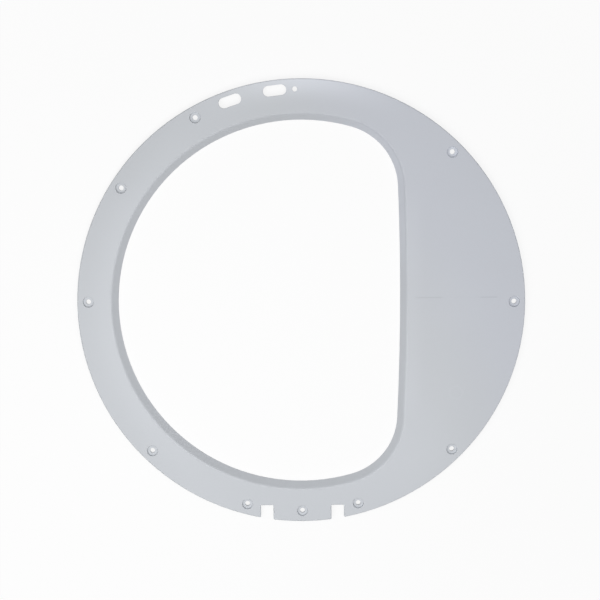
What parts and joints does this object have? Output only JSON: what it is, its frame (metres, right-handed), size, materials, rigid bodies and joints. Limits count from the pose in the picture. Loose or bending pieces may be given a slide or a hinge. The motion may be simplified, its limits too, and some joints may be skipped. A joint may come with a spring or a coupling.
{
  "type": "dryer inner door ring",
  "caption": "Flat round moulded ring with an off-centre D-shaped window, a turned-in window lip, screw wells round the edge, catch slots and hinge notches; it backs a dryer door.",
  "frame": {"origin": "middle of the round outer edge, on the plane that the window lip rests on", "axes": "+Z out of the visible face, +X towards the wide side, +Y towards the catch slots"},
  "size_m": [0.448, 0.448, 0.009],
  "materials": {
    "grey_plastic": "satin moulded"
  },
  "bodies": {
    "root": {"door_ring": "grey_plastic"}
  },
  "joints": []
}
